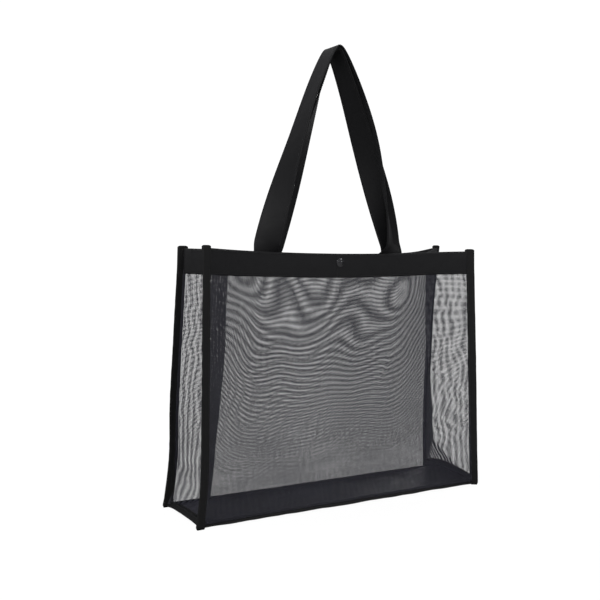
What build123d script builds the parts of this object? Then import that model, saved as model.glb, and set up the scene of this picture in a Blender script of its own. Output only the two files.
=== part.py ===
from build123d import *
import os
from math import cos, pi

# Mesh beach bag: a soft tote with see-through mesh walls, fabric top bands, tape-bound seams,
# two carrying straps and a press stud that closes the mouth.
#
# Millimetres. X is the width, -Y is the front and +Z is up. The origin is the middle of the
# base, on the floor. The bag is drawn closed: the press stud holds the middles of the front and
# back walls together, both end gussets fold inwards and the handles stand up over the mouth.

# ---- driving dimensions ----
bottom_half_width = 225.0    # seam to middle, at the floor
rim_half_width = 214.0       # seam to middle, at the rim
bottom_half_depth = 62.0
rim_half_depth = 42.0
rim_height = 350.0
band_height = 33.0           # fabric hem round the mouth
gusset_rim_fold = 51.0       # how far the gusset's middle is folded in, at the rim
gusset_foot_fold = 40.0      # and where the fold begins to run out towards the base
fold_foot_height = 50.0

mesh_thickness = 1.2
band_thickness = 2.4
base_thickness = 2.0
seam_gap = 0.5               # room left between neighbouring soft pieces

tape_width = 11.0            # binding tape, folded over each seam
tape_thickness = 2.4
tape_rise = 7.0              # folded end of the corner tape above the rim
tape_foot_height = 9.0       # binding round the base

mouth_gap = 6.0              # between the two bands where the mouth is closed
pinch_half_width = 112.0     # the mouth is closed from the middle out to here
pinch_shape = 1.6            # how quickly the walls part beyond that
mouth_bow = 7.0              # the closed mouth bows forward by this at the press stud
bow_half_width = 80.0

strap_width = 38.0
strap_thickness = 2.2
strap_gap = 1.0              # between the two handles where they stand side by side
strap_centre = 104.0         # from the middle to a strap's centre line, at the rim
strap_start = 1.5            # free strap starts this far above the rim
strap_end_length = 28.0      # sewn down inside the band
handle_top = 637.0
handle_top_depth = 48.0      # outer tip to inner tip of the peak
front_bulge = 1.65           # the front handle's legs bow out, the back handle's are straighter
back_bulge = 1.05
back_handle_drop = 4.0       # the back handle nests just below the front one

snap_x = 4.0
snap_height = 335.0
cap_radius = 6.25            # line-20 press stud
cap_height = 2.2
stem_radius = 2.0
stem_clearance = 0.2
plate_clearance = 0.15       # under the press stud's plates, which press into the fabric
socket_radius = 6.0
socket_depth = 2.3
socket_floor = 0.6
cavity_radius = 3.7
stud_radius = 3.3
stud_base = 1.0
stud_length = 3.6
post_radius = 5.5
post_height = 1.3

wall_steps = 24              # curve points across a wall
leg_steps = 8                # curve points up a handle leg

FRONT = -1
BACK = 1
LEFT = -1
RIGHT = 1


# ---- the bag's shape as formulas ----
def half_width(z):
    """Distance from the middle to the side seams at height z."""
    return bottom_half_width + (rim_half_width - bottom_half_width) * z / rim_height


def half_depth(z):
    """Distance from the middle to the corner seams at height z."""
    return bottom_half_depth + (rim_half_depth - bottom_half_depth) * z / rim_height


def wall_y(x, z, side):
    """Middle surface of the front or back wall: straight at the floor, and pinched in towards
    the band, where the middle of the wall stands upright against its partner."""
    rise = min(1.0, z / (rim_height - band_height))
    beyond = max(0.0, abs(x) - pinch_half_width) / (half_width(z) - pinch_half_width)
    pinch = rise * (1.0 - min(1.0, beyond) ** pinch_shape)
    closed = mouth_gap / 2 + band_thickness / 2
    bow = 0.0
    if abs(x - snap_x) < bow_half_width:
        bow = mouth_bow * cos(pi * (x - snap_x) / (2 * bow_half_width)) ** 2
    return side * (half_depth(z) * (1.0 - pinch) + closed * pinch) - rise * bow


# ---- solids between two outlines ----
def wall_outline(side, z, thickness):
    """Closed outline of a wall at height z: two curves with a thickness between them."""
    reach = half_width(z) - tape_width / 2 - seam_gap
    across = [reach * (2 * i / wall_steps - 1) for i in range(wall_steps + 1)]
    outer = [Vector(x, wall_y(x, z, side) + side * thickness / 2, z) for x in across]
    inner = [Vector(x, wall_y(x, z, side) - side * thickness / 2, z) for x in across]
    return Wire([
        Edge.make_spline(outer),
        Edge.make_line(outer[-1], inner[-1]),
        Edge.make_spline(inner[::-1]),
        Edge.make_line(inner[0], outer[0]),
    ])


def wall_sheet(side, z_low, z_high, thickness):
    """Part of the front or back wall between two heights."""
    low = wall_outline(side, z_low, thickness)
    high = wall_outline(side, z_high, thickness)
    return Solid.make_loft([low, high], ruled=True)


def gusset_fold(z):
    """How far the middle of a gusset is folded in at height z. The fold runs out at the floor."""
    if z < fold_foot_height:
        return gusset_foot_fold * z / fold_foot_height
    rise = (z - fold_foot_height) / (rim_height - fold_foot_height)
    return gusset_foot_fold + (gusset_rim_fold - gusset_foot_fold) * rise


def gusset_outline(side, z, thickness):
    """Closed V outline of an end gusset at height z, folded towards the middle of the bag."""
    corner_x = half_width(z)
    fold_x = corner_x - gusset_fold(z)
    reach = half_depth(z) - tape_thickness / 2 - band_thickness / 2 - seam_gap
    points = [
        (side * corner_x, -reach, z),
        (side * fold_x, 0, z),
        (side * corner_x, reach, z),
        (side * (corner_x + thickness), reach, z),
        (side * (fold_x + thickness), 0, z),
        (side * (corner_x + thickness), -reach, z),
    ]
    return Wire.make_polygon(points, close=True)


def gusset_sheet(side, heights, thickness):
    """Part of an end gusset, straight from each height to the next."""
    outlines = [gusset_outline(side, z, thickness) for z in heights]
    return Solid.make_loft(outlines, ruled=True)


def rectangle_outline(x, y, z, size_x, size_y):
    """Rectangle centred on (x, y) at height z."""
    corners = [(-1, -1), (1, -1), (1, 1), (-1, 1)]
    points = [(x + i * size_x / 2, y + j * size_y / 2, z) for i, j in corners]
    return Wire.make_polygon(points, close=True)


def cylinder_along_y(radius, y_start, y_end):
    """Cylinder on the press stud's axis between two depths."""
    length = abs(y_end - y_start)
    middle = (y_start + y_end) / 2
    return Pos(snap_x, middle, snap_height) * Rot(90, 0, 0) * Cylinder(radius, length)


# ---- walls, gussets and base ----
def mesh_wall(side):
    """See-through wall from the base binding up to the band."""
    return wall_sheet(
        side, tape_foot_height + seam_gap, rim_height - band_height - seam_gap, mesh_thickness
    )


def top_band(side):
    """Fabric hem along the rim of the front or back wall, pierced for the press stud."""
    band = wall_sheet(side, rim_height - band_height, rim_height, band_thickness)
    middle = wall_y(snap_x, snap_height, side)
    hole = cylinder_along_y(
        stem_radius + stem_clearance, middle - 2 * band_thickness, middle + 2 * band_thickness
    )
    return band - hole


def mesh_gusset(side):
    """See-through end gusset with its inward fold."""
    heights = [
        tape_foot_height + seam_gap, fold_foot_height, rim_height - band_height - seam_gap
    ]
    return gusset_sheet(side, heights, mesh_thickness)


def gusset_band(side):
    """Fabric hem along the rim of an end gusset."""
    return gusset_sheet(side, [rim_height - band_height, rim_height], band_thickness)


def corner_tape(side_x, side_y):
    """Binding down one vertical seam, with a thicker folded end just above the rim."""
    foot = rectangle_outline(
        side_x * half_width(0), side_y * half_depth(0), 0, tape_width, tape_thickness
    )
    top = rectangle_outline(
        side_x * half_width(rim_height), side_y * half_depth(rim_height),
        rim_height, tape_width, tape_thickness,
    )
    tape = Solid.make_loft([foot, top], ruled=True)
    folded_end = Pos(
        side_x * half_width(rim_height), side_y * half_depth(rim_height),
        rim_height + tape_rise / 2,
    ) * Box(tape_width, tape_thickness, tape_rise)
    return tape + folded_end


def base_panel():
    """Plain fabric sheet that the bag stands on."""
    length = 2 * (bottom_half_width - tape_thickness / 2 - seam_gap)
    depth = 2 * (bottom_half_depth - tape_thickness / 2 - seam_gap)
    return Pos(0, 0, base_thickness / 2) * Box(length, depth, base_thickness)


def long_base_tape(side):
    """Binding along the front or back edge of the base."""
    length = 2 * (bottom_half_width - tape_width / 2 - 2 * seam_gap)
    place = Pos(0, side * bottom_half_depth, tape_foot_height / 2)
    return place * Box(length, tape_thickness, tape_foot_height)


def short_base_tape(side):
    """Binding along the left or right edge of the base."""
    length = 2 * (half_depth(tape_foot_height) - tape_thickness / 2 - seam_gap)
    place = Pos(side * bottom_half_width, 0, tape_foot_height / 2)
    return place * Box(tape_thickness, length, tape_foot_height)


# ---- handles ----
def leg_edge(side_x, foot_x, top_z, bulge):
    """One edge of a handle leg, from the rim up to the peak in the middle."""
    start = rim_height + strap_start
    shares = [i / leg_steps for i in range(leg_steps + 1)]
    points = [
        Vector(side_x * foot_x * (1 - s ** bulge), 0, start + (top_z - start) * s)
        for s in shares
    ]
    return Edge.make_spline(points)


def handle(side_y, top_z, bulge):
    """Free loop of a handle: a flat strap rising from both bases to a peak."""
    outer_foot = strap_centre + strap_width / 2
    inner_foot = strap_centre - strap_width / 2
    outer_left = leg_edge(LEFT, outer_foot, top_z, bulge)
    outer_right = leg_edge(RIGHT, outer_foot, top_z, bulge)
    inner_left = leg_edge(LEFT, inner_foot, top_z - handle_top_depth, bulge)
    inner_right = leg_edge(RIGHT, inner_foot, top_z - handle_top_depth, bulge)
    outline = Wire([
        outer_left,
        outer_right,
        Edge.make_line(outer_right @ 0, inner_right @ 0),
        inner_right,
        inner_left,
        Edge.make_line(inner_left @ 0, outer_left @ 0),
    ])
    near_face = side_y * strap_gap / 2
    strap = extrude(Face(outline), amount=strap_thickness, dir=(0, side_y, 0))
    return Pos(0, near_face, 0) * strap


def handle_ends(side_y):
    """The two ends of a handle, sewn flat against the inside of the band."""
    y = side_y * (strap_gap + strap_thickness) / 2
    z = rim_height - strap_end_length / 2
    end = Box(strap_width, strap_thickness, strap_end_length)
    return Compound(children=[Pos(x, y, z) * end for x in (-strap_centre, strap_centre)])


# ---- press stud ----
def snap_cap():
    """Domed cap on the front band with the stem that passes through the band and the socket."""
    middle = wall_y(snap_x, snap_height, FRONT)
    outer_face = middle - band_thickness / 2 - plate_clearance
    inner_face = middle + band_thickness / 2 + plate_clearance
    plate = cylinder_along_y(cap_radius, outer_face, outer_face - cap_height)
    front_rim = plate.edges().group_by(Axis.Y)[0]
    plate = fillet(front_rim, cap_height * 0.8)
    stem = cylinder_along_y(stem_radius, outer_face, inner_face + socket_floor)
    return plate + stem


def snap_socket():
    """Cup behind the front band that grips the stud."""
    face = wall_y(snap_x, snap_height, FRONT) + band_thickness / 2 + plate_clearance
    cup = cylinder_along_y(socket_radius, face, face + socket_depth)
    cavity = cylinder_along_y(cavity_radius, face + socket_floor, face + socket_depth)
    stem_hole = cylinder_along_y(stem_radius + stem_clearance, face, face + socket_depth)
    return cup - cavity - stem_hole


def snap_stud():
    """Knob on the inside of the back band that presses into the socket."""
    face = wall_y(snap_x, snap_height, BACK) - band_thickness / 2 - plate_clearance
    base = cylinder_along_y(socket_radius, face, face - stud_base)
    knob = cylinder_along_y(stud_radius, face, face - stud_base - stud_length)
    stem_hole = cylinder_along_y(stem_radius + stem_clearance, face, face - stud_base)
    return base + knob - stem_hole


def snap_post():
    """Flat rivet head outside the back band with the stem that holds the stud."""
    middle = wall_y(snap_x, snap_height, BACK)
    outer_face = middle + band_thickness / 2 + plate_clearance
    inner_face = middle - band_thickness / 2 - plate_clearance
    head = cylinder_along_y(post_radius, outer_face, outer_face + post_height)
    stem = cylinder_along_y(stem_radius, outer_face, inner_face - stud_base + stem_clearance)
    return head + stem


# ---- every piece, by name ----
pieces = {
    "base_panel": base_panel(),
    "front_mesh_wall": mesh_wall(FRONT),
    "back_mesh_wall": mesh_wall(BACK),
    "left_mesh_gusset": mesh_gusset(LEFT),
    "right_mesh_gusset": mesh_gusset(RIGHT),
    "front_top_band": top_band(FRONT),
    "back_top_band": top_band(BACK),
    "left_gusset_band": gusset_band(LEFT),
    "right_gusset_band": gusset_band(RIGHT),
    "front_left_corner_tape": corner_tape(LEFT, FRONT),
    "front_right_corner_tape": corner_tape(RIGHT, FRONT),
    "back_left_corner_tape": corner_tape(LEFT, BACK),
    "back_right_corner_tape": corner_tape(RIGHT, BACK),
    "front_base_tape": long_base_tape(FRONT),
    "back_base_tape": long_base_tape(BACK),
    "left_base_tape": short_base_tape(LEFT),
    "right_base_tape": short_base_tape(RIGHT),
    "front_handle": handle(FRONT, handle_top, front_bulge),
    "back_handle": handle(BACK, handle_top - back_handle_drop, back_bulge),
    "front_handle_ends": handle_ends(FRONT),
    "back_handle_ends": handle_ends(BACK),
    "snap_cap": snap_cap(),
    "snap_socket": snap_socket(),
    "snap_stud": snap_stud(),
    "snap_post": snap_post(),
}

os.makedirs("parts", exist_ok=True)
for name, piece in pieces.items():
    export_step(piece, os.path.join("parts", name + ".step"))
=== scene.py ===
# Looks of a mesh beach bag: net walls, fabric bands, bound seams, stitched straps and a press stud,
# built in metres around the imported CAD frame. +Z is up and -Y is the front.
import math

import bpy
import numpy as np
from mathutils import Matrix, Vector, noise


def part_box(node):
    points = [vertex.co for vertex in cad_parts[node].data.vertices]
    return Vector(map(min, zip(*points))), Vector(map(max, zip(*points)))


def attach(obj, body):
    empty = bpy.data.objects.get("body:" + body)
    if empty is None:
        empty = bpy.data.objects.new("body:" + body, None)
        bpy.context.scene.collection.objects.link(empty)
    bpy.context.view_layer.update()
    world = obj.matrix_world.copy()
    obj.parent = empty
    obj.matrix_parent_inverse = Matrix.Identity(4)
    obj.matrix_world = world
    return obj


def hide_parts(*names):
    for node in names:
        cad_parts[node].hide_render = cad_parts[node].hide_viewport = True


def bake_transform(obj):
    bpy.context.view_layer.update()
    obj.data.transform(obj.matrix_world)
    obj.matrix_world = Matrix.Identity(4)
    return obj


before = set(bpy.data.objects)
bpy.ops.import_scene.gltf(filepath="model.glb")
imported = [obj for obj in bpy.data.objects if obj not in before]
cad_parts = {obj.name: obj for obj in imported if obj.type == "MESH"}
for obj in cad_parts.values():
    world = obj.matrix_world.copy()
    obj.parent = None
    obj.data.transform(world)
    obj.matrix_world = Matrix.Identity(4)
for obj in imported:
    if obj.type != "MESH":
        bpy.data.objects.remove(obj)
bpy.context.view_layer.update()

# ---- sizes read from the frame ----
tape_low, tape_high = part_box("front_left_corner_tape")
band_low, band_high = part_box("front_top_band")
foot_low, foot_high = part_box("front_base_tape")
snap_low, snap_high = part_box("snap_cap")
end_low, end_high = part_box("front_handle_ends")
loop_low, loop_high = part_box("front_handle")

TAPE_THICKNESS = foot_high.y - foot_low.y
TAPE_WIDTH = 0.011              # of a binding, as in the CAD
FOOT_HEIGHT = foot_high.z
BOTTOM_HALF_WIDTH = -tape_low.x - TAPE_WIDTH / 2
RIM_HALF_WIDTH = -tape_high.x + TAPE_WIDTH / 2
BOTTOM_HALF_DEPTH = -tape_low.y - TAPE_THICKNESS / 2
RIM_HALF_DEPTH = -tape_high.y + TAPE_THICKNESS / 2
RIM = band_high.z
BAND_BOTTOM = band_low.z
BAND_THICKNESS = 0.0024         # a folded hem, thicker than the CAD's single sheet
SNAP_X = (snap_low.x + snap_high.x) / 2
SNAP_Z = (snap_low.z + snap_high.z) / 2
STRAP_THICKNESS = loop_high.y - loop_low.y
STRAP_WIDTH = 0.038
STRAP_CENTRE = loop_high.x - STRAP_WIDTH / 2
STRAP_Y = -(loop_high.y + loop_low.y) / 2
PEAK = loop_high.z

FRONT, BACK = -1, 1
LEFT, RIGHT = -1, 1

# ---- soft shape ----
CLOSED_HALF_GAP = 0.0042        # mouth line to the middle of each band where the mouth is closed
PINCH_HALF_WIDTH = 0.112        # the closed stretch of the mouth, either side of the middle
PINCH_SHAPE = 1.6               # how suddenly the walls part outside it
MOUTH_BOW = 0.007               # the closed mouth bows to the front by this at the press stud
BOW_HALF_WIDTH = 0.080
RIM_LIFT = 0.0033               # the rim's corners above its CAD height
RIM_SAG = 0.0056                # and its middle below them
WALL_CURVE = 0.75               # below 1, the walls stay close together until near the base
FOLD_AT_RIM = 0.0505            # how far each gusset's middle is folded in
FOLD_AT_NODE = {LEFT: 0.038, RIGHT: 0.031}
FOLD_GROWTH = 0.6 * RIM         # the fold reaches its full depth this far above the node
NODE_HEIGHT = {LEFT: 0.022, RIGHT: 0.062}   # where each gusset's fold splits into two creases
FOLD_ROUNDING = 0.02            # of a crease, as a share of the gusset's half depth
TAPE_TUCK = 0.0085              # the left gusset joins the inner edge of the back corner's binding
TUCK_RISE = 0.03                # and does so from this height up
NET_THICKNESS = 0.0005
NET_RIPPLE = 0.0009             # the net's unevenness, and the size of its waves
NET_RIPPLE_SCALE = 0.06
NET_WANDER = 0.0016             # how far the net's yarns stray from straight lines
NET_WANDER_SCALE = 0.075
NET_TAUT_TOP = 0.05             # this unevenness fades out towards the band, and the base
NET_TAUT_FOOT = 0.03
NET_UNDER_BAND = 0.004          # the net runs up behind the band by this
BAND_DROP = 0.0013              # the band hangs this far below its CAD edge
GUSSET_SAG = 0.004              # the folded gussets' rims droop by this in their middles

BACK_TUCK = (-0.0078, -0.016)   # the back of the base is pushed sideways and forwards
TUCK_HEIGHT = 0.12              # and the skin above it follows up to this height
PULLS = [                       # place, how far the skin is tugged there, and over what reach
    ((-RIM_HALF_WIDTH, -RIM_HALF_DEPTH, RIM), (-0.0018, 0.0, 0.0), 0.200),
    ((-RIM_HALF_WIDTH, -RIM_HALF_DEPTH, RIM), (-0.0014, 0.0, 0.0), 0.015),
    ((-RIM_HALF_WIDTH, RIM_HALF_DEPTH, RIM), (0.0, 0.0, -0.0014), 0.030),
    ((RIM_HALF_WIDTH, -RIM_HALF_DEPTH, RIM), (0.0036, 0.0, 0.0), 0.120),
    ((RIM_HALF_WIDTH, -RIM_HALF_DEPTH, RIM * 0.65), (0.0020, 0.0, 0.0), 0.100),
    ((RIM_HALF_WIDTH, RIM_HALF_DEPTH, RIM), (0.0018, -0.0050, 0.0062), 0.058),
    ((-BOTTOM_HALF_WIDTH, -BOTTOM_HALF_DEPTH, 0), (-0.0045, 0.0, 0.0), 0.040),
    ((BOTTOM_HALF_WIDTH, -BOTTOM_HALF_DEPTH, 0), (-0.0024, 0.0, 0.0), 0.090),
    ((-BOTTOM_HALF_WIDTH, 0, 0), (-0.0050, 0.0, 0.0), 0.035),
    ((-BOTTOM_HALF_WIDTH, BOTTOM_HALF_DEPTH, 0.065), (0.0035, 0.0, 0.0), 0.050),
]


def lerp(a, b, t):
    return a + (b - a) * t


def smooth(t):
    t = min(1.0, max(0.0, t))
    return t * t * (3 - 2 * t)


def half_width(z):
    """Middle to side seam at height z."""
    return lerp(BOTTOM_HALF_WIDTH, RIM_HALF_WIDTH, z / RIM)


def half_depth(z):
    """Middle to corner seam at height z."""
    return lerp(BOTTOM_HALF_DEPTH, RIM_HALF_DEPTH, z / RIM)


def ripple(x, y, z, scale, seed):
    """Gentle unevenness of hanging fabric, between about -1 and 1."""
    return noise.noise(Vector((x / scale + seed, y / scale - seed, z / scale + 0.37 * seed)))


def rim_shift(x, z):
    """How far the fabric stands above its place at height z, most of it at the rim."""
    return (RIM_LIFT - RIM_SAG * (1 - (x / half_width(z)) ** 2)) * (z / RIM) ** 2


def wall_y(x, z, side):
    """Middle surface of the front or back wall, pinched together towards the band."""
    rise = min(1.0, max(0.0, z) / BAND_BOTTOM) ** WALL_CURVE
    beyond = max(0.0, abs(x) - PINCH_HALF_WIDTH) / (half_width(z) - PINCH_HALF_WIDTH)
    pinch = rise * (1.0 - min(1.0, beyond) ** PINCH_SHAPE)
    bow = 0.0
    if abs(x - SNAP_X) < BOW_HALF_WIDTH:
        bow = MOUTH_BOW * math.cos(math.pi * (x - SNAP_X) / (2 * BOW_HALF_WIDTH)) ** 2
    return side * (half_depth(z) * (1 - pinch) + CLOSED_HALF_GAP * pinch) - rise * bow


def settle(x, y, z):
    """A point of the bag's skin, moved with the uneven way the bag stands."""
    here = np.array([x, y, z])
    tuck = max(0.0, y) / BOTTOM_HALF_DEPTH * max(0.0, 1 - z / TUCK_HEIGHT) ** 2
    moved = here + tuck * np.array([*BACK_TUCK, 0.0])
    for place, pull, reach in PULLS:
        away = np.linalg.norm(here - place)
        moved += np.array(pull) * math.exp(-(away / reach) ** 2)
    return tuple(moved)


def crease(x, z, start, end, width, depth):
    """Depth at (x, z) of a dent along a line of the wall, deepest in its middle."""
    along = (end[0] - start[0], end[1] - start[1])
    length = math.hypot(*along)
    share = ((x - start[0]) * along[0] + (z - start[1]) * along[1]) / length ** 2
    away = ((x - start[0]) * along[1] - (z - start[1]) * along[0]) / length
    if not 0 < share < 1:
        return 0.0
    return depth * math.sin(math.pi * share) ** 2 * math.exp(-(away / width) ** 2)


CREASES = {                     # both ends as (x, z), half width and depth of each dent
    FRONT: [
        ((-0.02, 0.030), (0.06, 0.085), 0.006, 0.0022),
        ((0.06, 0.045), (0.15, 0.100), 0.006, 0.0020),
        ((-0.12, 0.040), (-0.02, 0.085), 0.008, 0.0018),
        ((0.165, 0.150), (0.190, 0.235), 0.006, 0.0024),
    ],
    BACK: [
        ((-0.15, 0.040), (-0.04, 0.100), 0.009, 0.0018),
        ((0.02, 0.050), (0.10, 0.095), 0.007, 0.0018),
        ((0.10, 0.130), (0.13, 0.220), 0.008, 0.0016),
    ],
}


def wall_point(x, z, side):
    """A point of the net wall with its sag, ripple and creases."""
    edge = 1 - min(1.0, abs(x) / half_width(z)) ** 4
    below_band = min(1.0, (BAND_BOTTOM - z) / NET_TAUT_TOP)
    above_foot = min(1.0, max(0.0, z - FOOT_HEIGHT) / NET_TAUT_FOOT)
    inside = max(0.0, below_band * above_foot)
    wave = NET_RIPPLE * ripple(x, 0, z, NET_RIPPLE_SCALE, 3.0 + side) * edge * inside
    wave -= side * sum(crease(x, z, *line) for line in CREASES[side]) * inside
    return settle(x, wall_y(x, z, side) + wave, z + rim_shift(x, z))


def soft_max(a, b):
    """The larger of two shares, with the corner between them rounded off."""
    return (a + b + math.hypot(a - b, FOLD_ROUNDING)) / 2


def fold_inward(end, across, z):
    """How far a gusset's point is folded in. Above the node the fold is a plain V. Below it the
    fold splits into two creases, which run to the corners of the base round a flat triangle."""
    node = NODE_HEIGHT[end]
    depth = FOLD_AT_NODE[end]
    tuck = 0.0
    if end == LEFT:
        tuck = TAPE_TUCK * max(0.0, across) ** 2 * smooth(z / TUCK_RISE)
    if z < node:
        return tuck + depth * (1 - min(1.0, soft_max(abs(across), 1 - z / node)))
    depth = lerp(depth, FOLD_AT_RIM, smooth((z - node) / FOLD_GROWTH))
    return tuck + depth * (1 - min(1.0, soft_max(abs(across), 0.0)))


# ---- mesh building ----
def new_object(name, vertices, faces, material, uvs=None, smooth_faces=True, cut_faces=0):
    """Mesh object from vertices, faces and one UV per vertex. The last cut_faces faces are the
    cut edge of a sheet: they meet it at a sharp edge, and lie in a hole of its net."""
    mesh = bpy.data.meshes.new(name)
    mesh.from_pydata([tuple(v) for v in vertices], [], faces)
    mesh.materials.append(material)
    mesh.polygons.foreach_set("use_smooth", [smooth_faces] * len(mesh.polygons))
    if uvs is not None:
        layer = mesh.uv_layers.new(name="UVMap")
        corner = np.zeros(len(mesh.loops), np.int32)
        mesh.loops.foreach_get("vertex_index", corner)
        marks = np.asarray(uvs, np.float32)[corner]
        if cut_faces:
            first = mesh.polygons[len(faces) - cut_faces].loop_start
            marks[first:] = 0.0
        layer.data.foreach_set("uv", marks.ravel())
    if cut_faces:
        edges = {frozenset(pair) for face in faces[-cut_faces:]
                 for pair in zip(face, face[1:] + face[:1])}
        sharp = mesh.attributes.new("sharp_edge", "BOOLEAN", "EDGE")
        sharp.data.foreach_set("value", [frozenset(e.vertices) in edges for e in mesh.edges])
    mesh.update()
    piece = bpy.data.objects.new(name, mesh)
    bpy.context.scene.collection.objects.link(piece)
    return piece


def thick_sheet(name, points, uvs, thickness, material):
    """Closed thin sheet round a grid of middle points."""
    points = np.asarray(points, float)
    rows, columns = points.shape[:2]
    along = np.gradient(points, axis=0)
    across = np.gradient(points, axis=1)
    normal = np.cross(along, across)
    normal /= np.maximum(np.linalg.norm(normal, axis=2, keepdims=True), 1e-12)
    top = points + normal * thickness / 2
    bottom = points - normal * thickness / 2
    vertices = np.concatenate([top.reshape(-1, 3), bottom.reshape(-1, 3)])
    flat_uv = np.asarray(uvs, float).reshape(-1, 2)
    count = rows * columns
    faces = []
    for i in range(rows - 1):
        for j in range(columns - 1):
            a = i * columns + j
            quad = (a, a + columns, a + columns + 1, a + 1)
            faces.append(quad)
            faces.append(tuple(count + k for k in reversed(quad)))
    rim = list(range(columns))
    rim += [i * columns + columns - 1 for i in range(1, rows)]
    rim += [(rows - 1) * columns + j for j in range(columns - 2, -1, -1)]
    rim += [i * columns for i in range(rows - 2, 0, -1)]
    for a, b in zip(rim, rim[1:] + rim[:1]):
        faces.append((a, b, count + b, count + a))
    marks = np.concatenate([flat_uv, flat_uv])
    return new_object(name, vertices, faces, material, marks, cut_faces=len(rim))


def rounded_section(width, thickness, flats=6, arcs=4):
    """Closed outline of a flat tape: two flat sides and two rounded edges."""
    half = width / 2 - thickness / 2
    outline = []
    for side in (1, -1):
        for i in range(flats + 1):
            outline.append((side * lerp(-half, half, i / flats), side * thickness / 2))
        for i in range(1, arcs):
            angle = math.pi / 2 - math.pi * i / arcs
            outline.append((
                side * (half + thickness / 2 * math.cos(angle)),
                side * thickness / 2 * math.sin(angle),
            ))
    return outline


def sweep(name, stations, material):
    """Closed body through stations, each (centre, width axis, thickness axis, section)."""
    size = len(stations[0][3])
    vertices, uvs = [], []
    travelled = 0.0
    last = None
    for centre, wide, thick, section in stations:
        centre = np.asarray(centre, float)
        if last is not None:
            travelled += float(np.linalg.norm(centre - last))
        last = centre
        for a, b in section:
            vertices.append(centre + np.asarray(wide) * a + np.asarray(thick) * b)
            uvs.append((travelled, a + (0.0 if b >= 0 else 0.5)))
    faces = []
    for i in range(len(stations) - 1):
        for j in range(size):
            k = (j + 1) % size
            faces.append((i * size + j, i * size + k, (i + 1) * size + k, (i + 1) * size + j))
    faces.append(tuple(range(size - 1, -1, -1)))
    faces.append(tuple((len(stations) - 1) * size + j for j in range(size)))
    return new_object(name, vertices, faces, material, uvs)


STITCH_PITCH = 0.0032
STITCH_LENGTH = 0.0024
STITCH_RADIUS = 0.00032
STITCH_SINK = 0.6               # share of the thread's radius that lies in the cloth
STITCH_RINGS = [(0.0, 0.25), (0.18, 1.0), (0.82, 1.0), (1.0, 0.25)]   # place along it, and girth


def stitches(name, line, normals, material):
    """Row of short raised stitches along a line of points lying on a surface."""
    line = np.asarray(line, float)
    normals = np.asarray(normals, float)
    steps = np.linalg.norm(np.diff(line, axis=0), axis=1)
    travelled = np.concatenate([[0.0], np.cumsum(steps)])
    vertices, faces = [], []
    sides = 6

    def place(distance):
        return np.array([np.interp(distance, travelled, line[:, k]) for k in range(3)])

    start = STITCH_PITCH / 2
    while start + STITCH_LENGTH < travelled[-1]:
        head, tail = place(start), place(start + STITCH_LENGTH)
        ahead = (tail - head) / np.linalg.norm(tail - head)
        index = int(np.searchsorted(travelled, start + STITCH_LENGTH / 2))
        out = normals[min(index, len(normals) - 1)]
        out = out - ahead * float(out @ ahead)
        out /= np.linalg.norm(out)
        sideways = np.cross(ahead, out)
        lift = out * STITCH_RADIUS * (1 - STITCH_SINK)
        first = len(vertices)
        for share, girth in STITCH_RINGS:
            for k in range(sides):
                angle = 2 * math.pi * k / sides
                around = math.cos(angle) * sideways + math.sin(angle) * out
                offset = STITCH_RADIUS * girth * around
                vertices.append(head + (tail - head) * share + offset + lift)
        for r in range(len(STITCH_RINGS) - 1):
            for k in range(sides):
                a = first + r * sides + k
                b = first + r * sides + (k + 1) % sides
                faces.append((a, b, b + sides, a + sides))
        faces.append(tuple(first + k for k in range(sides - 1, -1, -1)))
        end = first + (len(STITCH_RINGS) - 1) * sides
        faces.append(tuple(end + k for k in range(sides)))
        start += STITCH_PITCH
    return new_object(name, vertices, faces, material)


# ---- material building ----
STREAK_PITCH = 0.0095           # between the bands of tighter knit, and how far they wander
STREAK_DRIFT = 0.024
YARN_SHARPNESS = 14.0           # of a yarn's edge, for a pitch of 1
HAZE_TOP = 0.17                 # a wall's net starts to look even below this height
FOLD_SHADE = 0.40               # how strongly its soft wrinkles darken it there


class Nodes:
    """Short helper that adds shader nodes and links their sockets."""

    def __init__(self, name):
        self.material = bpy.data.materials.new(name)
        self.material.use_nodes = True
        self.tree = self.material.node_tree
        self.tree.nodes.clear()
        self.output = self.tree.nodes.new("ShaderNodeOutputMaterial")

    def add(self, kind, settings=None, **inputs):
        node = self.tree.nodes.new("ShaderNode" + kind)
        for key, value in (settings or {}).items():
            setattr(node, key, value)
        for key, value in inputs.items():
            self.put(node, key.replace("_", " "), value)
        return node

    def put(self, node, key, value):
        socket = node.inputs[int(key)] if key.isdigit() else node.inputs[key]
        if isinstance(value, bpy.types.NodeSocket):
            self.tree.links.new(value, socket)
        else:
            socket.default_value = value

    def math(self, operation, a, b=None, c=None, clamp=False):
        node = self.add("Math", {"operation": operation, "use_clamp": clamp})
        for key, value in (("0", a), ("1", b), ("2", c)):
            if value is not None:
                self.put(node, key, value)
        return node.outputs[0]

    def mix(self, factor, a, b):
        node = self.add("Mix", {"data_type": "RGBA"})
        self.put(node, "0", factor)
        self.put(node, "6", a)
        self.put(node, "7", b)
        return node.outputs[2]

    def surface(self, socket):
        self.tree.links.new(socket, self.output.inputs["Surface"])
        return self.material


def grey(value, blue=0.0):
    """Opaque grey, with a little more in its blue."""
    return (value, value, value + blue, 1.0)


def wave(n, coordinate, period):
    """Smooth hump that repeats along a coordinate, 0 to 1."""
    phase = n.math("MULTIPLY", coordinate, 2 * math.pi / period)
    return n.math("MULTIPLY_ADD", n.math("SINE", phase), 0.5, 0.5)


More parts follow.
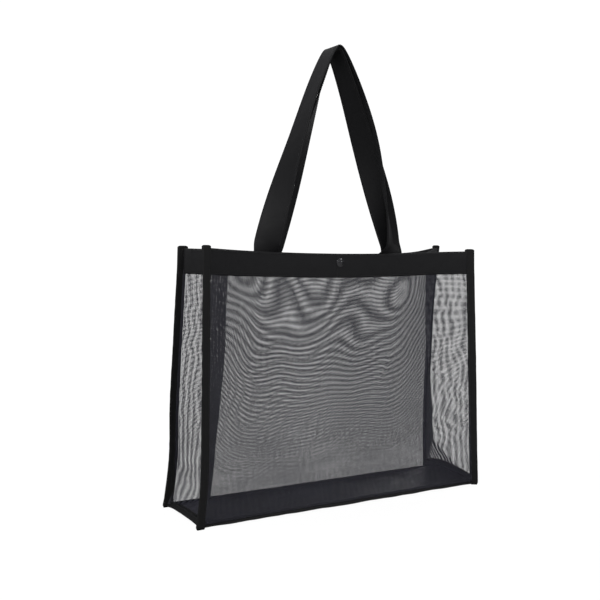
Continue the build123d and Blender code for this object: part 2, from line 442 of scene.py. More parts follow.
def woven_material(name, colour, light_colour, periods, roughness, sheen, bump=0.00012):
    """Woven fabric: crossing yarns in the bump, soft mottling in the colour, sheen on top.
    The two colours are the mottling's extremes, and edges are worn to the lighter one."""
    n = Nodes(name)
    uv = n.add("TexCoord").outputs["UV"]
    place = n.add("SeparateXYZ", Vector=uv)
    over = wave(n, place.outputs[0], periods[0])
    under = wave(n, place.outputs[1], periods[1])
    yarn = n.math("ADD", over, under)
    spot = n.add("TexCoord").outputs["Object"]
    mottle = n.add("TexNoise", Vector=spot, Scale=38.0, Detail=6.0, Roughness=0.6)
    fibre = n.add("TexNoise", Vector=spot, Scale=900.0, Detail=2.0)
    fuzz = n.math("MULTIPLY", fibre.outputs[0], 0.35)
    tone = n.math("MULTIPLY_ADD", mottle.outputs[0], 0.65, fuzz)
    shade = n.mix(tone, colour, light_colour)
    wear = n.add("NewGeometry").outputs["Pointiness"]
    worn = n.math("MULTIPLY", n.math("SUBTRACT", wear, 0.52), 4.0, clamp=True)
    shade = n.mix(worn, shade, light_colour)
    creases = n.add("TexNoise", Vector=spot, Scale=16.0, Detail=3.0, Distortion=0.6)
    hairs = n.math("MULTIPLY", fibre.outputs[0], 0.6)
    height = n.math("MULTIPLY_ADD", yarn, 0.5, hairs)
    fine = n.add("Bump", Strength=0.55, Distance=bump, Height=height)
    soft = n.add("Bump", Strength=0.35, Distance=0.004, Height=creases.outputs[0])
    n.put(soft, "Normal", fine.outputs[0])
    gloss = n.math("MULTIPLY_ADD", mottle.outputs[0], 0.18, roughness - 0.09)
    cloth = n.add("BsdfPrincipled", Base_Color=shade, Roughness=gloss, Normal=soft.outputs[0])
    cloth.inputs["Sheen Weight"].default_value = sheen
    cloth.inputs["Sheen Roughness"].default_value = 0.4
    cloth.inputs["Sheen Tint"].default_value = grey(0.75, blue=0.04)
    cloth.inputs["Specular IOR Level"].default_value = 0.3
    return n.surface(cloth.outputs[0])


def net_material(name, share, pitches, closing, streaks, haze):
    """See-through knitted net: yarns in both directions, each set covering its share of the
    cloth, with holes between them. Seen at a shallow angle the yarns close up the holes, and a
    thin sheet's far face is clear, so that each layer of net is counted once. Streaks are wavy
    bands of a tighter knit, and haze evens out yarns and holes towards the bottom of the net."""
    n = Nodes(name)
    uv = n.add("TexCoord").outputs["UV"]
    place = n.add("SeparateXYZ", Vector=uv)
    geometry = n.add("NewGeometry")
    facing = n.add("VectorMath", {"operation": "DOT_PRODUCT"})
    n.put(facing, "0", geometry.outputs["Normal"])
    n.put(facing, "1", geometry.outputs["Incoming"])
    turned = n.math("MAXIMUM", n.math("ABSOLUTE", facing.outputs["Value"]), 0.05)
    widening = n.math("POWER", turned, -closing)
    drift = n.add("TexNoise", Vector=uv, Scale=26.0, Detail=1.0)
    along = n.math("ADD", place.outputs[0], n.math("MULTIPLY", drift.outputs[0], STREAK_DRIFT))
    tight = n.math("MULTIPLY_ADD", wave(n, along, STREAK_PITCH), 2 * streaks, 1 - streaks)
    half_yarn = n.math("MULTIPLY", n.math("MULTIPLY", widening, tight), share / 2)

    def yarn(coordinate, pitch):
        step = n.math("FRACT", n.math("DIVIDE", coordinate, pitch))
        distance = n.math("ABSOLUTE", n.math("SUBTRACT", step, 0.5))
        gap = n.math("SUBTRACT", half_yarn, distance)
        return n.math("MULTIPLY_ADD", gap, YARN_SHARPNESS, 0.5, clamp=True), distance

    courses, far_u = yarn(place.outputs[0], pitches[0])
    wales, far_v = yarn(place.outputs[1], pitches[1])
    solid = n.math("MAXIMUM", courses, wales)
    spot = n.add("TexCoord").outputs["Object"]
    height = n.add("SeparateXYZ", Vector=spot).outputs[2]
    depth = n.math("SUBTRACT", 1.0, n.math("DIVIDE", height, HAZE_TOP))
    evenness = n.math("MULTIPLY", depth, haze, clamp=True)
    holes = n.math("SUBTRACT", 1.0, n.math("MULTIPLY", half_yarn, 2.0))
    even = n.math("SUBTRACT", 1.0, n.math("MULTIPLY", holes, holes))
    slanted = n.add("Mapping", Vector=uv, Rotation=(0.0, 0.0, 0.6), Scale=(9.0, 34.0, 1.0))
    wrinkles = n.add("TexNoise", Vector=slanted.outputs[0], Scale=1.0, Detail=2.0)
    shading = n.math("MULTIPLY", n.math("SUBTRACT", wrinkles.outputs[0], 0.5), FOLD_SHADE)
    wrinkled = n.math("ADD", even, shading)
    change = n.math("MULTIPLY", evenness, n.math("SUBTRACT", wrinkled, solid))
    front_face = n.math("SUBTRACT", 1.0, geometry.outputs["Backfacing"])
    cover = n.math("MULTIPLY", n.math("ADD", solid, change), front_face, clamp=True)
    mottle = n.add("TexNoise", Vector=spot, Scale=60.0, Detail=4.0)
    shade = n.mix(mottle.outputs[0], grey(0.009, blue=0.008), grey(0.020, blue=0.014))
    yarn_height = n.math("SUBTRACT", 1.0, n.math("MINIMUM", far_u, far_v))
    bump = n.add("Bump", Strength=0.4, Distance=0.0002, Height=yarn_height)
    cloth = n.add("BsdfPrincipled", Base_Color=shade, Roughness=0.55, Normal=bump.outputs[0])
    cloth.inputs["Sheen Weight"].default_value = 0.12
    n.put(cloth, "Alpha", cover)
    return n.surface(cloth.outputs[0])


def metal_material(name):
    """Black nickel plating with fine turning marks and a slightly worn rim."""
    n = Nodes(name)
    spot = n.add("TexCoord").outputs["Object"]
    marks = n.add("TexNoise", Vector=spot, Scale=1400.0, Detail=2.0)
    cloud = n.add("TexNoise", Vector=spot, Scale=220.0, Detail=3.0)
    shade = n.mix(cloud.outputs[0], grey(0.070, blue=0.003), grey(0.120, blue=0.005))
    rim = n.add("NewGeometry").outputs["Pointiness"]
    worn = n.math("MULTIPLY", n.math("SUBTRACT", rim, 0.53), 6.0, clamp=True)
    shade = n.mix(worn, shade, grey(0.25))
    rough = n.math("MULTIPLY_ADD", cloud.outputs[0], 0.12, 0.12)
    bump = n.add("Bump", Strength=0.15, Distance=0.0001, Height=marks.outputs[0])
    metal = n.add("BsdfPrincipled", Base_Color=shade, Metallic=1.0, Roughness=rough)
    n.put(metal, "Normal", bump.outputs[0])
    return n.surface(metal.outputs[0])


WHITE_GLOW = 1.05               # strength of floor and sky seen by the camera, just past white
SHADOW_REACH = 0.9              # the floor's shading fades to pure white this far out
SHADOW_WHITE = 0.88             # share of pure white in the floor right under the bag


def floor_material():
    """Pale studio floor: lit to white for the camera, with a faint shadow close to the bag, and
    plain grey as a bouncer of light."""
    n = Nodes("pale_floor")
    spot = n.add("TexCoord").outputs["Object"]
    cloud = n.add("TexNoise", Vector=spot, Scale=3.0, Detail=2.0)
    paint = n.add("BsdfDiffuse", Color=n.mix(cloud.outputs[0], grey(0.80), grey(0.84)))
    bounce = n.add("BsdfDiffuse", Color=grey(0.42))
    glow = n.add("Emission", Color=grey(1.0), Strength=WHITE_GLOW)
    reach = n.add("VectorMath", {"operation": "LENGTH"})
    n.put(reach, "0", spot)
    clear = n.math("DIVIDE", reach.outputs["Value"], SHADOW_REACH, clamp=True)
    white = n.math("MULTIPLY_ADD", clear, 1 - SHADOW_WHITE, SHADOW_WHITE)
    seen = n.add("MixShader", Fac=white)
    n.put(seen, "1", paint.outputs[0])
    n.put(seen, "2", glow.outputs[0])
    both = n.add("MixShader", Fac=n.add("LightPath").outputs["Is Camera Ray"])
    n.put(both, "1", bounce.outputs[0])
    n.put(both, "2", seen.outputs[0])
    return n.surface(both.outputs[0])


wall_net = net_material(
    "wall_net", share=0.375, pitches=(0.0009, 0.0008), closing=0.4, streaks=0.04, haze=0.95)
gusset_net = net_material(
    "gusset_net", share=0.20, pitches=(0.00095, 0.0009), closing=1.7, streaks=0.70, haze=0.0)
band_fabric = woven_material(
    "band_fabric", grey(0.0045, blue=0.0008), grey(0.0095, blue=0.0012),
    periods=(0.0006, 0.0006), roughness=0.62, sheen=0.05)
base_fabric = woven_material(
    "base_fabric", grey(0.0018, blue=0.0004), grey(0.0045, blue=0.0008),
    periods=(0.0008, 0.0008), roughness=0.34, sheen=0.05)
tape_fabric = woven_material(
    "tape_fabric", grey(0.0022), grey(0.005, blue=0.0004),
    periods=(0.0007, 0.0022), roughness=0.65, sheen=0.03, bump=0.0002)
strap_fabric = woven_material(
    "strap_fabric", grey(0.0018, blue=0.0006), grey(0.0046, blue=0.0010),
    periods=(0.0009, 0.0009), roughness=0.62, sheen=0.03)
thread = woven_material(
    "thread", grey(0.008), grey(0.02, blue=0.002),
    periods=(0.0005, 0.0005), roughness=0.45, sheen=0.1)
black_nickel = metal_material("black_nickel")

# ---- net walls ----
WALLS = {FRONT: "front", BACK: "back"}
ENDS = {LEFT: "left", RIGHT: "right"}


def bend_with_wall(piece):
    """Bakes the piece's placement into its mesh; the piece is left unattached to any body."""
    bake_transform(piece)


def wandering(along, up, seed):
    """Place in the knit of a point of the cloth, whose yarns never run quite straight."""
    shift = NET_WANDER * ripple(along, 0, up, NET_WANDER_SCALE, seed)
    lift = NET_WANDER * ripple(along, 0, up, NET_WANDER_SCALE, seed + 31.0)
    return (along + shift, up + lift)


def net_wall(wall, end):
    """Half of a net wall, from the middle to a corner seam."""
    columns, rows = 64, 72
    points, uvs = [], []
    for i in range(rows + 1):
        z = lerp(FOOT_HEIGHT * 0.6, BAND_BOTTOM + NET_UNDER_BAND, i / rows)
        reach = half_width(z) - TAPE_WIDTH * 0.35
        line = [wall_point(end * reach * j / columns, z, wall) for j in range(columns + 1)]
        points.append(line)
        uvs.append([wandering(x, z, 4.0 + 7.0 * wall) for x, _, _ in line])
    name = f"{WALLS[wall]}_net_{ENDS[end]}"
    piece = thick_sheet(name, points, uvs, NET_THICKNESS, wall_net)
    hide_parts(WALLS[wall] + "_mesh_wall")
    bend_with_wall(piece)


for wall in WALLS:
    for end in ENDS:
        net_wall(wall, end)


# ---- net gussets ----
FOOT_ARCH = {LEFT: 0.0025, RIGHT: 0.011}    # the gussets pull the ends of the base up by this
GUSSET_HALF_CLOTH = 0.064       # half the width of a gusset's cloth
GUSSET_CUT = 0.17               # each gusset is cut this far along the knit, to its own side


def arch(y, end):
    """Lift of the gusset's lower edge between its corners."""
    return FOOT_ARCH[end] * (1 - min(1.0, abs(y) / BOTTOM_HALF_DEPTH) ** 2.2)


def gusset_point(end, across, z):
    """A point of the folded gusset. across runs from -1 at the front seam to 1 at the back."""
    y = across * (half_depth(z) - BAND_THICKNESS)
    wave = 0.0008 * ripple(0, y, z, 0.05, 7.0 + end) * (1 - abs(across))
    lift = (RIM_LIFT - GUSSET_SAG * (1 - abs(across))) * (z / RIM) ** 2
    return settle(end * (half_width(z) - fold_inward(end, across, z) - wave), y, z + lift)


def net_gusset(end):
    """Net gusset with its inward fold, which opens into a triangle near the base."""
    columns, rows = 60, 84
    points, uvs = [], []
    for i in range(rows + 1):
        share = i / rows
        line, marks = [], []
        for j in range(columns + 1):
            across = 2 * j / columns - 1
            foot = FOOT_HEIGHT * 0.5 + arch(across * BOTTOM_HALF_DEPTH, end)
            z = lerp(foot, BAND_BOTTOM + NET_UNDER_BAND, share)
            line.append(gusset_point(end, across, z))
            marks.append(wandering(across * GUSSET_HALF_CLOTH + end * GUSSET_CUT, z, 19.0))
        points.append(line)
        uvs.append(marks)
    name = f"{ENDS[end]}_gusset_net"
    piece = thick_sheet(name, points, uvs, NET_THICKNESS, gusset_net)
    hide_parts(ENDS[end] + "_mesh_gusset")
    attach(piece, "base")


for end in ENDS:
    net_gusset(end)


# ---- base ----
BASE_THICKNESS = 0.0012
BASE_MARGIN = 0.002             # the base ends this far inside its seams
BASE_LIFT = 0.0016              # least height of the sheet's middle surface
BASE_FLAT = 0.13                # its ends start to rise this far from the middle


def base_sheet():
    """Fabric base, lifted a little where the gussets pull its ends up."""
    columns, rows = 90, 30
    points, uvs = [], []
    for i in range(rows + 1):
        line, marks = [], []
        for j in range(columns + 1):
            x = lerp(-1, 1, j / columns) * (BOTTOM_HALF_WIDTH - BASE_MARGIN)
            y = lerp(-1, 1, i / rows) * (BOTTOM_HALF_DEPTH - BASE_MARGIN)
            end = LEFT if x < 0 else RIGHT
            near = smooth((abs(x) - BASE_FLAT) / (BOTTOM_HALF_WIDTH - BASE_FLAT))
            lift = BASE_LIFT + near * arch(y, end) * 0.9
            lift += 0.0007 * (1 + ripple(x, y, 0, 0.05, 2.0))
            line.append(settle(x, y, lift))
            marks.append((x, y))
        points.append(line)
        uvs.append(marks)
    piece = thick_sheet("base_fabric_sheet", points, uvs, BASE_THICKNESS, base_fabric)
    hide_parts("base_panel")
    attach(piece, "base")


base_sheet()


# ---- bands ----
TANGENT_STEP = 0.004            # share of a hem, or of a strap's leg, that gives its direction


def outward_at(point, share):
    """Level direction out of the bag at a share of the way along a hem."""
    ahead = np.array(point(min(1.0, share + TANGENT_STEP)))
    ahead -= np.array(point(max(0.0, share - TANGENT_STEP)))
    ahead[2] = 0.0
    ahead /= np.linalg.norm(ahead)
    return np.array([ahead[1], -ahead[0], 0.0])


def band_stations(point, count, height, thickness):
    """Stations of an upright hem: point(share) gives its middle, and the section is upright."""
    stations = []
    section = rounded_section(height, thickness, flats=14)
    for i in range(count + 1):
        share = i / count
        here = np.array(point(share))
        puffed = []
        for a, b in section:
            middle = math.cos(math.pi * a / height)
            wave = 0.00035 * ripple(here[0], here[1], a, 0.012, 5.0)
            puffed.append((a, b * (0.85 + 0.35 * middle) + wave))
        stations.append((here, np.array([0, 0, 1.0]), outward_at(point, share), puffed))
    return stations


def band_rows(point, count, name, heights, ride):
    """Stitch rows on the outside of a band, at heights from its middle."""
    for number, height in enumerate(heights):
        line, normals = [], []
        for i in range(count + 1):
            share = i / count
            here = np.array(point(share))
            outward = outward_at(point, share)
            line.append(here + np.array([0, 0, height]) + outward * BAND_THICKNESS * 0.5)
            normals.append(outward)
        piece = stitches(f"{name}_{number}", line, normals, thread)
        ride(piece)


BAND_HEIGHT = RIM - BAND_BOTTOM + BAND_DROP
BAND_MIDDLE = RIM - BAND_HEIGHT / 2
ROW_INSET = 0.0022              # rows of stitches lie this far inside an edge
TOP_ROW_INSET = 0.0025
BAND_ROWS = (-BAND_HEIGHT / 2 + ROW_INSET, BAND_HEIGHT / 2 - TOP_ROW_INSET)


def wall_band(wall, end):
    """Half of the band on the front or back wall."""
    def point(share):
        reach = RIM_HALF_WIDTH - TAPE_WIDTH * 0.3
        x = lerp(-reach, 0, share) if end == LEFT else lerp(0, reach, share)
        if wall == BACK:
            x = lerp(0, -reach, share) if end == LEFT else lerp(reach, 0, share)
        return settle(x, wall_y(x, BAND_MIDDLE, wall), BAND_MIDDLE + rim_shift(x, RIM))

    stations = band_stations(point, 70, BAND_HEIGHT, BAND_THICKNESS)
    piece = sweep(f"{WALLS[wall]}_band_{ENDS[end]}", stations, band_fabric)
    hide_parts(WALLS[wall] + "_top_band")
    bend_with_wall(piece)
    band_rows(point, 120, f"{WALLS[wall]}_band_{ENDS[end]}_stitches", BAND_ROWS,
              lambda row: bend_with_wall(row))


def gusset_band(end):
    """Band along the rim of a folded gusset."""
    def point(share):
        across = lerp(-1, 1, share) if end == RIGHT else lerp(1, -1, share)
        return gusset_point(end, across, BAND_MIDDLE)

    stations = band_stations(point, 48, BAND_HEIGHT, BAND_THICKNESS)
    piece = sweep(f"{ENDS[end]}_gusset_hem", stations, band_fabric)
    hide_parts(ENDS[end] + "_gusset_band")
    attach(piece, "base")
    band_rows(point, 60, f"{ENDS[end]}_gusset_hem_stitches", BAND_ROWS,
              lambda row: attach(row, "base"))


for wall in WALLS:
    for end in ENDS:
        wall_band(wall, end)
for end in ENDS:
    gusset_band(end)


# ---- binding tape ----
KNOB_HEIGHT = 0.0034            # of the tape's folded end, above the rim
KNOB_SWELL = 0.0034             # extra width and thickness of the folded end
KNOB_THICKENING = 0.0016
CORNER_BINDINGS = {             # width, turn of the fin out of the wall's plane, and inset
    (FRONT, LEFT): (0.0110, 0.0, 0.0),
    (FRONT, RIGHT): (0.0125, 0.55, 0.0),
    (BACK, LEFT): (0.0137, 0.0, 0.0020),
    (BACK, RIGHT): (0.0115, 0.0, 0.0),
}
TOE_WIDTH = 0.0030              # extra width of the left corners' folded lower ends
TOE_HEIGHT = 0.014
TAPE_FACE = TAPE_THICKNESS * 0.52   # stitches on a tape lie this far from its middle surface
SEAM_HEIGHT = 0.0008            # of the base's seams above the ground
FOOT_LEAN = {FRONT: 0.95, BACK: 0.85}   # radians that the base's bindings lean in, long sides
END_LEAN = {LEFT: 0.95, RIGHT: 0.30}    # and short sides
END_INSET = 0.0016              # a short binding ends this far inside the corners
END_HEIGHT = {LEFT: 1.0, RIGHT: 1.6}    # of the short bindings, as a multiple of the long ones'
FOOT_PULL = {LEFT: 0.0, RIGHT: 0.8}     # a short seam is drawn in by this share of its lift


def corner_tape(wall, end):
    """Binding folded over a corner seam, with its thick folded end above the rim."""
    full, turn, inset = CORNER_BINDINGS[wall, end]
    wide = np.array([end * math.cos(turn), wall * math.sin(turn), 0.0])
    thick = np.array([-wide[1], wide[0], 0.0])
    top = RIM + RIM_LIFT + KNOB_HEIGHT
    stations, line = [], []
    steps, crowded = 110, 8
    for i in range(steps + 1):
        z = top * i / steps
        if i >= steps - crowded:
            z = top - KNOB_HEIGHT * 0.5 * ((steps - i) / crowded) ** 2
        pucker = 0.0004 * ripple(end, wall, z, 0.010, 11.0)
        knob = smooth((z - (top - KNOB_HEIGHT * 1.6)) / (KNOB_HEIGHT * 0.6))
        crown = math.sqrt(max(0.0, 1 - max(0.0, 1 - (top - z) / KNOB_HEIGHT) ** 2))
        crown = 0.35 + 0.65 * crown
        foot = 0.75 + 0.25 * smooth(z / 0.004)
        swell = KNOB_SWELL * knob
        if end == LEFT:
            swell += TOE_WIDTH * (1 - smooth(z / TOE_HEIGHT))
        width = (full + 0.0006 * ripple(end, wall, z, 0.03, 13.0) + swell) * crown * foot
        depth = (TAPE_THICKNESS + KNOB_THICKENING * knob) * (0.6 + 0.4 * crown)
        section = rounded_section(width, depth, flats=8)
        centre = np.array(settle(
            end * (half_width(z) - inset) + pucker, wall * half_depth(z) + pucker * 0.6, z))
        stations.append((centre, wide, thick, section))
        if z < RIM:
            edge = centre - wide * (full / 2 - ROW_INSET)
            line.append(edge + thick * end * wall * TAPE_FACE)
    name = f"{WALLS[wall]}_{ENDS[end]}_corner"
    piece = sweep(name + "_binding", stations, tape_fabric)
    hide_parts(name + "_tape")
    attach(piece, "base")
    row = stitches(name + "_stitches", line, [thick * end * wall] * len(line), thread)
    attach(row, "base")


def lean_foot(centre_of, wall_normal, lean, steps, height=FOOT_HEIGHT):
    """Stations and stitch line of a base binding that leans in over the seam.
    centre_of(share) is the seam and wall_normal points out of the bag."""
    out = np.array(wall_normal)
    up = -out * math.sin(lean) + np.array([0, 0, math.cos(lean)])
    face = out * math.cos(lean) + np.array([0, 0, math.sin(lean)])
    section = rounded_section(height, TAPE_THICKNESS, flats=6)
    stations, line = [], []
    for i in range(steps + 1):
        centre = centre_of(i / steps) + up * height / 2
        stations.append((centre, up, face, section))
        line.append(centre + up * ROW_INSET + face * TAPE_FACE)
    return stations, line, face


def long_foot(wall):
    """Binding along the front or back seam of the base."""
    reach = BOTTOM_HALF_WIDTH - TAPE_WIDTH * 0.4

    def seam(share):
        x = lerp(-reach, reach, share)
        bend = 0.0007 * (1 + ripple(x, wall, 0, 0.022, 17.0))
        return np.array(settle(x, wall * (BOTTOM_HALF_DEPTH - bend), SEAM_HEIGHT + bend))

    add_foot(WALLS[wall] + "_base", lean_foot(seam, (0.0, wall, 0.0), FOOT_LEAN[wall], 120))


def short_foot(end):
    """Binding along the left or right seam of the base, arched up by the folded gusset."""
    reach = BOTTOM_HALF_DEPTH - END_INSET

    def seam(share):
        y = lerp(-reach, reach, share)
        lift = arch(y, end)
        x = end * (BOTTOM_HALF_WIDTH - lift * FOOT_PULL[end])
        return np.array(settle(x, y, SEAM_HEIGHT + lift))

    height = FOOT_HEIGHT * END_HEIGHT[end]
    add_foot(ENDS[end] + "_base", lean_foot(seam, (end, 0.0, 0.0), END_LEAN[end], 50, height))


def add_foot(name, parts):
    """Puts a base binding and its stitches in place."""
    stations, line, face = parts
    piece = sweep(name + "_binding", stations, tape_fabric)
    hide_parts(name + "_tape")
    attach(piece, "base")
    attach(stitches(name + "_stitches", line, [face] * len(line), thread), "base")


for wall in WALLS:
    for end in ENDS:
        corner_tape(wall, end)
    long_foot(wall)
for end in ENDS:
    short_foot(end)


# ---- handles ----
PEAK_SOFTNESS = 0.045           # how round the peak is
PEAK_SHIFT = -0.0072            # the peak stands left of the middle
SPREAD_START = 0.07             # the legs spread over about this share of their length,
SPREAD_KEPT = 0.4               # come back from this share on,
JOIN_START = 0.5                # and head for the peak's own depth from this share on
TURN_START = 0.04               # a leg takes on its first turn over this share of its length
ROW_MARGIN = 0.0030             # rows of stitches lie this far inside the strap's edges

# Each strap has its peak's height and y, its shift to the right at the rim, and the spread of
# its legs away from the other strap. Each leg has a bulge (how long it stands out before it
# comes in to the peak), a sway and a swing (a single and a double wave sideways), its turn just
# above the rim, in radians from flat against the band, and the share of its length by which it
# has turned crosswise (past 1, it doesn't quite get there).
HANDLES = {
    FRONT: {
        "name": "front", "peak": PEAK - 0.0010, "shift": -0.0058, "y_top": -0.001,
        "spread": 0.0069,
        "bulge": {LEFT: 1.42, RIGHT: 1.55}, "sway": {LEFT: 0.0014, RIGHT: 0.0014},
        "swing": {LEFT: 0.0008, RIGHT: -0.0030},
        "turn": {LEFT: 0.41, RIGHT: 0.62}, "turned_by": {LEFT: 0.76, RIGHT: 0.99},
    },
    BACK: {
        "name": "back", "peak": PEAK - 0.0040, "shift": 0.0002, "y_top": 0.001,
        "spread": 0.0023,
        "bulge": {LEFT: 0.97, RIGHT: 1.35}, "sway": {LEFT: 0.0052, RIGHT: -0.0052},
        "swing": {LEFT: 0.0, RIGHT: 0.0},
        "turn": {LEFT: -0.15, RIGHT: -0.19}, "turned_by": {LEFT: 1.51, RIGHT: 1.08},
    },
}


def strap_place(t, wall):
    """Middle of the strap and its turn, for t from -1 at the left end to 1 at the right end.
    Each leg turns from flat at the rim to crosswise at the peak."""
    shape = HANDLES[wall]
    leg = LEFT if t < 0 else RIGHT
    s = 1 - min(1.0, abs(t))
    soft = (math.sqrt(t * t + PEAK_SOFTNESS ** 2) - PEAK_SOFTNESS)
    soft /= math.sqrt(1 + PEAK_SOFTNESS ** 2) - PEAK_SOFTNESS
    x = leg * STRAP_CENTRE * (1 - s ** shape["bulge"][leg]) + lerp(shape["shift"], PEAK_SHIFT, s)
    x += shape["sway"][leg] * math.sin(math.pi * s) + shape["swing"][leg] * math.sin(2 * math.pi * s)
    z = lerp(shape["peak"], RIM, min(1.0, soft))
    opened = 1 - math.exp(-s / SPREAD_START)
    closed = smooth((s - SPREAD_KEPT) / (1 - SPREAD_KEPT))
    apart = STRAP_Y + shape["spread"] * opened * (1 - closed)
    y = lerp(wall * apart, shape["y_top"], smooth((s - JOIN_START) / (1 - JOIN_START)))
    begun = shape["turn"][leg] * min(1.0, s / TURN_START)
    share = math.sin(math.pi / 2 * min(1.0, s / shape["turned_by"][leg]))
    turn = lerp(begun, math.pi / 2, share)
    return np.array([x, y, z]), turn


def strap_frame(t, wall):
    """Centre, width axis and thickness axis of the strap at t."""
    centre, turn = strap_place(t, wall)
    ahead = strap_place(min(1.0, t + TANGENT_STEP), wall)[0]
    ahead = ahead - strap_place(max(-1.0, t - TANGENT_STEP), wall)[0]
    ahead /= np.linalg.norm(ahead)
    leg = -1.0 if t < 0 else 1.0
    wide = np.array([leg * math.cos(turn), -wall * math.sin(turn), 0.0])
    wide -= ahead * float(wide @ ahead)
    wide /= np.linalg.norm(wide)
    return centre, wide, np.cross(ahead, wide)


def handle(wall):
    """One carrying strap from its sewn end inside the band, over the peak, to its other end."""
    shape = HANDLES[wall]
    section = rounded_section(STRAP_WIDTH, STRAP_THICKNESS, flats=16)
    stations = []
    down = [lerp(end_low.z, RIM - 0.002, i / 6) for i in range(7)]
    for z in down:
        centre = np.array([shape["shift"] - STRAP_CENTRE, wall * STRAP_Y, z])
        stations.append((centre, np.array([-1.0, 0, 0]), np.array([0, -1.0, 0]), section))
    steps = 180
    for i in range(steps + 1):
        centre, wide, thick = strap_frame(lerp(-1, 1, i / steps), wall)
        stations.append((centre, wide, thick, section))
    for z in reversed(down):
        centre = np.array([shape["shift"] + STRAP_CENTRE, wall * STRAP_Y, z])
        stations.append((centre, np.array([1.0, 0, 0]), np.array([0, -1.0, 0]), section))
    piece = sweep(shape["name"] + "_strap", stations, strap_fabric)
    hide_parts(shape["name"] + "_handle", shape["name"] + "_handle_ends")
    join_strap(piece)
    stitch_steps = 240
    for number, (edge, face) in enumerate([(1, 1), (-1, 1), (1, -1), (-1, -1)]):
        line, normals = [], []
        for i in range(stitch_steps + 1):
            centre, wide, thick = strap_frame(lerp(-1, 1, i / stitch_steps), wall)
            inset = STRAP_WIDTH / 2 - ROW_MARGIN
            line.append(centre + wide * edge * inset + thick * face * STRAP_THICKNESS / 2)
            normals.append(thick * face)
        row = stitches(f"{shape['name']}_strap_stitches_{number}", line, normals, thread)
        join_strap(row)


def join_strap(piece):
    """Bakes the strap piece's placement into its mesh; it is left unattached to any body."""
    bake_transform(piece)


for wall in WALLS:
    handle(wall)


# ---- press stud ----
def lathe(name, profile, place, material, sides=48):
    """Round body turned about an axis along Y. The profile lists (radius, depth) pairs."""
    vertices, faces = [], []
    for radius, depth in profile:
        for k in range(sides):
            angle = 2 * math.pi * k / sides
            vertices.append((
                place[0] + radius * math.cos(angle), place[1] + depth,
                place[2] + radius * math.sin(angle),
            ))
    for r in range(len(profile) - 1):
        for k in range(sides):
            a = r * sides + k
            b = r * sides + (k + 1) % sides
            faces.append((a, a + sides, b + sides, b))
    faces.append(tuple(range(sides)))
    faces.append(tuple((len(profile) - 1) * sides + k for k in range(sides - 1, -1, -1)))
    return new_object(name, vertices, faces, material)


CAP_ROLL = 0.0006               # radius of the cap's rolled rim
CAP_GROOVE = 0.0003             # width of the groove inside the rim
DOME_START = 0.0004             # the dome starts this far out from the band
DOME_HEIGHT = 0.0024


def snap_cap():
    """Domed cap with a rolled rim."""
    radius = (snap_high.x - snap_low.x) / 2
    face = wall_y(SNAP_X, SNAP_Z, FRONT) - BAND_THICKNESS * 0.6
    profile = [(radius * 0.97, CAP_ROLL)]
    for i in range(6):
        angle = math.pi / 2 * i / 5
        profile.append((radius - CAP_ROLL * (1 - math.cos(angle)), -CAP_ROLL * math.sin(angle)))
    for i in range(1, 12):
        share = i / 12
        width = (radius - CAP_ROLL - CAP_GROOVE) * (1 - share)
        profile.append((width, -DOME_START - DOME_HEIGHT * math.sin(share * math.pi / 2)))
    piece = lathe("snap_cap_dome", profile, (SNAP_X, face, SNAP_Z), black_nickel)
    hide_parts("snap_cap")
    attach(piece, "front_wall")


snap_cap()
for name in ("snap_socket", "snap_stud", "snap_post"):
    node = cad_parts[name]
    node.data.materials.clear()
    node.data.materials.append(black_nickel)

# ---- studio ----
FLOOR_SIZE = 30.0
FLOOR_GAP = 0.0002              # the floor lies this far under the bag
SKY_LIGHT = 0.34                # strength of the sky as light
CAMERA_PLACE = (-0.6636, -1.0293, 0.3540)
CAMERA_TURN = (30.64, 3.44, 0.94)   # degrees to the right, downwards and of tilt
CAMERA_LENS = 51.34             # millimetres, for a sensor 36 mm wide


def floor():
    """Large level floor under the bag, for its shadow and the light it throws back."""
    half = FLOOR_SIZE / 2
    corners = [(-half, -half, 0), (half, -half, 0), (half, half, 0), (-half, half, 0)]
    sheet = new_object("floor", corners, [(0, 1, 2, 3)], floor_material(), smooth_faces=False)
    sheet.location.z = -FLOOR_GAP


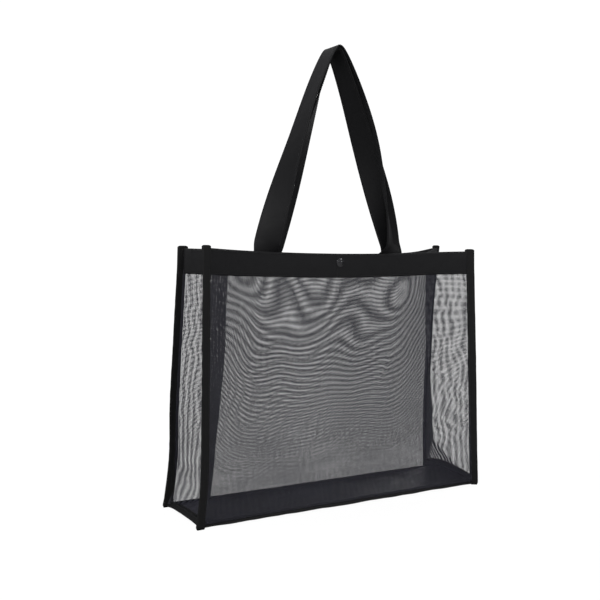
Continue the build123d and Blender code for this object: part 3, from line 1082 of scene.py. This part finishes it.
def studio_sky():
    """White to the camera, and a softer white as light."""
    world = bpy.data.worlds.new("studio")
    bpy.context.scene.world = world
    world.use_nodes = True
    tree = world.node_tree
    tree.nodes.clear()
    path = tree.nodes.new("ShaderNodeLightPath")
    seen = tree.nodes.new("ShaderNodeBackground")
    seen.inputs["Color"].default_value = grey(1.0)
    seen.inputs["Strength"].default_value = WHITE_GLOW
    lit = tree.nodes.new("ShaderNodeBackground")
    lit.inputs["Color"].default_value = grey(0.9, blue=0.03)
    lit.inputs["Strength"].default_value = SKY_LIGHT
    mixer = tree.nodes.new("ShaderNodeMixShader")
    out = tree.nodes.new("ShaderNodeOutputWorld")
    tree.links.new(path.outputs["Is Camera Ray"], mixer.inputs[0])
    tree.links.new(lit.outputs[0], mixer.inputs[1])
    tree.links.new(seen.outputs[0], mixer.inputs[2])
    tree.links.new(mixer.outputs[0], out.inputs["Surface"])


def soft_light(name, place, target, size, power):
    """Rectangular lamp at a place, aimed at a target, with its size in metres and power in watts."""
    data = bpy.data.lights.new(name, "AREA")
    data.shape = "RECTANGLE"
    data.size, data.size_y = size
    data.energy = power
    light = bpy.data.objects.new(name, data)
    bpy.context.scene.collection.objects.link(light)
    light.location = place
    aim = Vector(target) - Vector(place)
    light.rotation_mode = "QUATERNION"
    light.rotation_quaternion = aim.to_track_quat("-Z", "Y")
    light.visible_camera = False


def studio_camera():
    """Camera turned to the right and slightly down, below the height of the raised straps."""
    yaw, pitch, roll = (math.radians(angle) for angle in CAMERA_TURN)
    level = math.cos(pitch)
    ahead = Vector((math.sin(yaw) * level, math.cos(yaw) * level, -math.sin(pitch)))
    right = Vector((math.cos(yaw), -math.sin(yaw), 0))
    up = right.cross(ahead)
    level_right = math.cos(roll) * right + math.sin(roll) * up
    level_up = -math.sin(roll) * right + math.cos(roll) * up
    data = bpy.data.cameras.new("camera")
    data.sensor_width = 36.0
    data.lens = CAMERA_LENS
    camera = bpy.data.objects.new("camera", data)
    bpy.context.scene.collection.objects.link(camera)
    turn = Matrix((level_right, level_up, -ahead)).transposed()
    camera.matrix_world = Matrix.Translation(CAMERA_PLACE) @ turn.to_4x4()
    bpy.context.scene.camera = camera


floor()
studio_sky()
soft_light("key", (-1.6, -1.4, 1.9), (0, 0, 0.3), (1.4, 1.4), 34)
soft_light("top", (0.3, 0.4, 2.2), (0, 0, 0.2), (2.0, 1.6), 16)
soft_light("fill", (1.6, -1.5, 1.6), (0, 0, 0.3), (0.4, 0.4), 6)
soft_light("back", (1.10, 1.14, 0.33), (0.21, 0.06, 0), (0.30, 0.10), 1.1)
studio_camera()
scene = bpy.context.scene
scene.view_settings.view_transform = "Standard"
scene.cycles.transparent_max_bounces = 32
